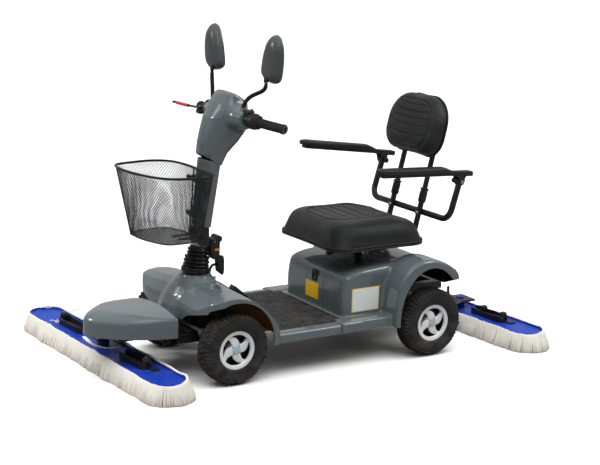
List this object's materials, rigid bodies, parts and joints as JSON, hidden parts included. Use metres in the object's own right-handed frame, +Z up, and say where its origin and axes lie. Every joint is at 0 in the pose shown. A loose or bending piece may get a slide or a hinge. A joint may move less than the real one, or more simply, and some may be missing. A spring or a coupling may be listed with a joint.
{
  "type": "ride-on dust mop cart",
  "caption": "Electric mobility-type ride-on cart with a tiller, wire basket, swivel seat and round-ended string dust mops carried under the nose and behind the rear wheels.",
  "frame": {"origin": "on the floor under the middle of the whole machine's bounding box", "axes": "+X forward to the nose, +Y to the rider's left, +Z up"},
  "size_m": [1.8006, 1.23, 1.2293],
  "materials": {
    "body_grey": "gloss moulded panel",
    "frame_black": "black powder coat",
    "steel": "bright plated steel",
    "rim_silver": "cast and painted silver",
    "tyre_black": "block tread rubber",
    "soft_black": "matte rubber",
    "plastic_black": "moulded plastic",
    "drive_grey": "cast housing",
    "lamp_amber": "clear moulded lens",
    "vinyl_black": "sewn vinyl",
    "armrest_black": "moulded pad",
    "basket_black": "coated wire mesh",
    "board_blue": "moulded board",
    "cotton": "looped cotton yarn"
  },
  "bodies": {
    "chassis": {"chassis_frame": "frame_black", "front_axle_beam": "frame_black", "nose_cover": "body_grey", "nose_bracket": "frame_black", "front_cover": "body_grey", "footboard_panel": "body_grey", "footboard_mat": "soft_black", "rear_body": "body_grey", "charge_socket": "plastic_black", "batteries": "plastic_black", "controller_box": "plastic_black", "drive_unit": "drive_grey", "tail_lamps": "lamp_amber", "rear_hitch": "frame_black"},
    "steering": {"steering_shaft": "steel", "bellows": "soft_black", "tilt_box": "plastic_black"},
    "left_knuckle": {"left_knuckle": "frame_black"},
    "right_knuckle": {"right_knuckle": "frame_black"},
    "tie_rod": {"tie_rod": "steel"},
    "tiller": {"tiller_post": "frame_black", "column_cover": "body_grey", "head_shroud": "body_grey", "handlebar": "steel", "left_grip": "soft_black", "bar_clamps": "plastic_black", "mirror_stalks": "frame_black"},
    "tilt_lever": {"tilt_lever": "plastic_black"},
    "throttle": {"throttle_grip": "soft_black"},
    "brake": {"brake_lever": "steel"},
    "key": {"ignition_key": "steel"},
    "horn": {"horn_button": "plastic_black"},
    "left_mirror": {"left_mirror": "plastic_black"},
    "right_mirror": {"right_mirror": "plastic_black"},
    "basket": {"basket": "basket_black"},
    "pedal": {"foot_pedal": "frame_black"},
    "front_left_wheel": {"front_left_tyre": "tyre_black", "front_left_rim": "rim_silver"},
    "front_right_wheel": {"front_right_tyre": "tyre_black", "front_right_rim": "rim_silver"},
    "rear_left_wheel": {"rear_left_tyre": "tyre_black", "rear_left_rim": "rim_silver"},
    "rear_right_wheel": {"rear_right_tyre": "tyre_black", "rear_right_rim": "rim_silver"},
    "seat": {"seat_pan": "frame_black", "seat_cushion": "vinyl_black", "back_frame": "frame_black"},
    "seat_release": {"seat_lever": "steel"},
    "backrest": {"backrest_rods": "steel", "backrest_pad": "vinyl_black"},
    "armrest_left": {"armrest_left": "armrest_black"},
    "armrest_right": {"armrest_right": "armrest_black"},
    "front_mop_lifter": {"front_mop_arm": "frame_black"},
    "front_mop": {"front_mop_board": "board_blue", "front_mop_strings": "cotton", "front_mop_clamps": "plastic_black"},
    "rear_mop_lifter": {"rear_mop_arm": "frame_black"},
    "rear_mop": {"rear_mop_board": "board_blue", "rear_mop_strings": "cotton", "rear_mop_clamps": "plastic_black"}
  },
  "joints": [
    {"name": "tiller_turn", "type": "hinge", "parent": "chassis", "child": "steering", "pos_m": [0.46135, 0.12898, 0.34], "axis": [-0.1219, 0, 0.9925], "range_deg": [-40, 40]},
    {"name": "left_steer", "type": "hinge", "parent": "chassis", "child": "left_knuckle", "pos_m": [0.44133, 0.31398, 0.13], "axis": [0, 0, 1], "range_deg": [-24.5, 24.5]},
    {"name": "right_steer", "type": "hinge", "parent": "chassis", "child": "right_knuckle", "pos_m": [0.44133, -0.05602, 0.13], "axis": [0, 0, 1], "range_deg": [-24.5, 24.5]},
    {"name": "tie_rod_shift", "type": "slide", "parent": "chassis", "child": "tie_rod", "axis": [0, 1, 0], "range_m": [-0.039, 0.039]},
    {"name": "front_left_spin", "type": "hinge", "parent": "left_knuckle", "child": "front_left_wheel", "pos_m": [0.44133, 0.38348, 0.13], "axis": [0, 1, 0], "continuous": true},
    {"name": "front_right_spin", "type": "hinge", "parent": "right_knuckle", "child": "front_right_wheel", "pos_m": [0.44133, -0.12552, 0.13], "axis": [0, 1, 0], "continuous": true},
    {"name": "rear_left_spin", "type": "hinge", "parent": "chassis", "child": "rear_left_wheel", "pos_m": [-0.39867, 0.41248, 0.13], "axis": [0, 1, 0], "continuous": true},
    {"name": "rear_right_spin", "type": "hinge", "parent": "chassis", "child": "rear_right_wheel", "pos_m": [-0.39867, -0.15452, 0.13], "axis": [0, 1, 0], "continuous": true},
    {"name": "tiller_tilt", "type": "hinge", "parent": "steering", "child": "tiller", "pos_m": [0.44477, 0.12898, 0.475], "axis": [0, 1, 0], "range_deg": [-20, 8]},
    {"name": "tilt_release", "type": "hinge", "parent": "steering", "child": "tilt_lever", "pos_m": [0.39533, 0.12898, 0.418], "axis": [0, 1, 0], "range_deg": [0, 18], "stiffness_Nm_per_rad": 0.6, "springref_deg": -11.46},
    {"name": "throttle_twist", "type": "hinge", "parent": "tiller", "child": "throttle", "pos_m": [0.28333, -0.17102, 0.911], "axis": [-0.2802, -0.9574, -0.0701], "range_deg": [0, 60], "stiffness_Nm_per_rad": 0.25, "springref_deg": -5.73},
    {"name": "brake_squeeze", "type": "hinge", "parent": "tiller", "child": "brake", "pos_m": [0.37333, -0.01302, 0.93], "axis": [0, 0, -1], "range_deg": [0, 18], "stiffness_Nm_per_rad": 1, "springref_deg": -5.73},
    {"name": "key_turn", "type": "hinge", "parent": "tiller", "child": "key", "pos_m": [0.27433, 0.09498, 0.905], "axis": [-1, 0, 0], "range_deg": [0, 90]},
    {"name": "horn_press", "type": "slide", "parent": "tiller", "child": "horn", "axis": [1, 0, 0], "range_m": [0, 0.003], "stiffness_N_per_m": 300, "springref_m": -0.002},
    {"name": "left_mirror_turn", "type": "hinge", "parent": "tiller", "child": "left_mirror", "pos_m": [0.29633, 0.32398, 1.06], "axis": [0, 0, 1], "range_deg": [-25, 25]},
    {"name": "right_mirror_turn", "type": "hinge", "parent": "tiller", "child": "right_mirror", "pos_m": [0.29633, -0.06602, 1.06], "axis": [0, 0, 1], "range_deg": [-25, 25]},
    {"name": "basket_lift", "type": "slide", "parent": "tiller", "child": "basket", "axis": [0, 0, 1], "range_m": [0, 0.06]},
    {"name": "pedal_press", "type": "hinge", "parent": "chassis", "child": "pedal", "pos_m": [0.35133, 0.06898, 0.3], "axis": [0, -1, 0], "range_deg": [0, 8], "stiffness_Nm_per_rad": 4, "springref_deg": -8.59},
    {"name": "seat_swivel", "type": "hinge", "parent": "chassis", "child": "seat", "pos_m": [-0.25867, 0.12898, 0.3], "axis": [0, 0, 1], "range_deg": [-90, 90]},
    {"name": "seat_release_pull", "type": "hinge", "parent": "seat", "child": "seat_release", "pos_m": [-0.22367, 0.16898, 0.389], "axis": [0, -1, 0], "range_deg": [0, 6], "stiffness_Nm_per_rad": 0.5, "springref_deg": -11.46},
    {"name": "backrest_height", "type": "slide", "parent": "seat", "child": "backrest", "axis": [-0.2368, 0, 0.9715], "range_m": [-0.03, 0.05]},
    {"name": "left_arm_flip", "type": "hinge", "parent": "seat", "child": "armrest_left", "pos_m": [-0.53567, 0.38398, 0.656], "axis": [0, -1, 0], "range_deg": [0, 90]},
    {"name": "right_arm_flip", "type": "hinge", "parent": "seat", "child": "armrest_right", "pos_m": [-0.53567, -0.12602, 0.656], "axis": [0, -1, 0], "range_deg": [0, 90]},
    {"name": "front_mop_raise", "type": "hinge", "parent": "chassis", "child": "front_mop_lifter", "pos_m": [0.62133, -0.04302, 0.136], "axis": [0, -1, 0], "range_deg": [0, 12]},
    {"name": "front_mop_swivel", "type": "hinge", "parent": "front_mop_lifter", "child": "front_mop", "pos_m": [0.74533, -0.04302, 0.1], "axis": [0, 0, 1], "range_deg": [-18, 4]},
    {"name": "rear_mop_raise", "type": "hinge", "parent": "chassis", "child": "rear_mop_lifter", "pos_m": [-0.61867, 0.12898, 0.136], "axis": [0, 1, 0], "range_deg": [0, 15]},
    {"name": "rear_mop_swivel", "type": "hinge", "parent": "rear_mop_lifter", "child": "rear_mop", "pos_m": [-0.77567, 0.12898, 0.1], "axis": [0, 0, 1], "range_deg": [-12, 12]}
  ],
  "couplings": [
    {"joint": "left_steer", "follows": "tiller_turn", "ratio": 0.6},
    {"joint": "right_steer", "follows": "tiller_turn", "ratio": 0.6},
    {"joint": "tie_rod_shift", "follows": "tiller_turn", "m_per_rad": 0.054}
  ]
}
